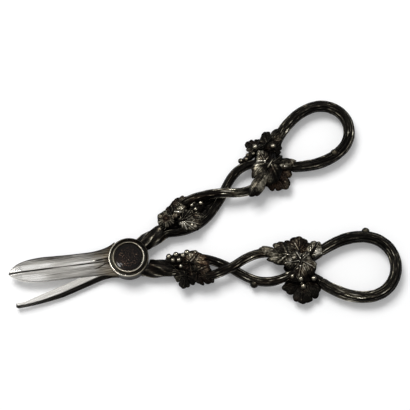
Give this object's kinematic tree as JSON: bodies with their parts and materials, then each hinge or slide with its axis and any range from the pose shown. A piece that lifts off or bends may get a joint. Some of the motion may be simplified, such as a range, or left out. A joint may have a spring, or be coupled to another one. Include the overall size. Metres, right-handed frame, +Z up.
{
  "type": "grape shears",
  "caption": "Grape shears with a broad and a slim silver blade, a round pivot boss and cast vine handles with leaves, grapes and egg-shaped finger bows.",
  "frame": {"origin": "On the pivot axis, on the flat rear face of the rivet and the rear boss, which the shears lie on.", "axes": "+X points from the pivot to the finger bows, +Y to the upper arm's side, and +Z up, out of the front boss, along the pivot axis."},
  "size_m": [0.1696, 0.0977, 0.0113],
  "materials": {
    "blade_silver": "polished silver plate with fine lengthwise scratches",
    "boss_silver": "turned silver plate, bright on its edges and dark in its groove",
    "medallion_silver": "chased silver plate, oxidised brown-black",
    "stem_silver": "cast bark texture, silver plate oxidised black, worn bright on the ridges",
    "leaf_silver": "cast and chased leaf, silver plate oxidised dark with worn veins",
    "grape_silver": "cast berries, silver plate worn bright on top and dark between"
  },
  "bodies": {
    "lower_arm": {"broad_blade": "blade_silver", "lower_shank": "stem_silver", "lower_strand_over": "stem_silver", "lower_strand_under": "stem_silver", "lower_bow": "stem_silver", "lower_lens_back_leaf": "leaf_silver", "lower_throat_back_leaf": "leaf_silver", "lower_cover_leaf": "leaf_silver", "lower_curled_leaf": "leaf_silver", "lower_small_leaf": "leaf_silver", "lower_lens_grapes": "grape_silver", "lower_throat_leaf": "leaf_silver", "lower_crown_leaf": "leaf_silver", "lower_side_leaf": "leaf_silver", "lower_bud_leaf": "leaf_silver", "lower_foot_leaf": "leaf_silver", "lower_throat_grapes": "grape_silver", "pivot_rivet": "blade_silver", "rear_boss": "boss_silver", "front_boss": "boss_silver", "medallion": "medallion_silver"},
    "upper_arm": {"slim_blade": "blade_silver", "upper_shank": "stem_silver", "upper_strand_over": "stem_silver", "upper_strand_under": "stem_silver", "upper_bow": "stem_silver", "upper_lens_back_leaf": "leaf_silver", "upper_throat_back_leaf": "leaf_silver", "upper_rosette": "leaf_silver", "upper_narrow_leaf": "leaf_silver", "upper_fan_leaf": "leaf_silver", "upper_lens_grapes": "grape_silver", "upper_throat_leaf": "leaf_silver", "upper_lobe_leaf": "leaf_silver", "upper_inner_leaf": "leaf_silver", "upper_bow_leaf": "leaf_silver", "upper_berry_leaf": "leaf_silver", "upper_throat_grapes": "grape_silver", "upper_round_leaf": "leaf_silver"}
  },
  "joints": [
    {"name": "pivot", "type": "hinge", "parent": "lower_arm", "child": "upper_arm", "pos_m": [0, 0, 0], "axis": [0, 0, 1], "range_deg": [-15.5, 40]}
  ]
}
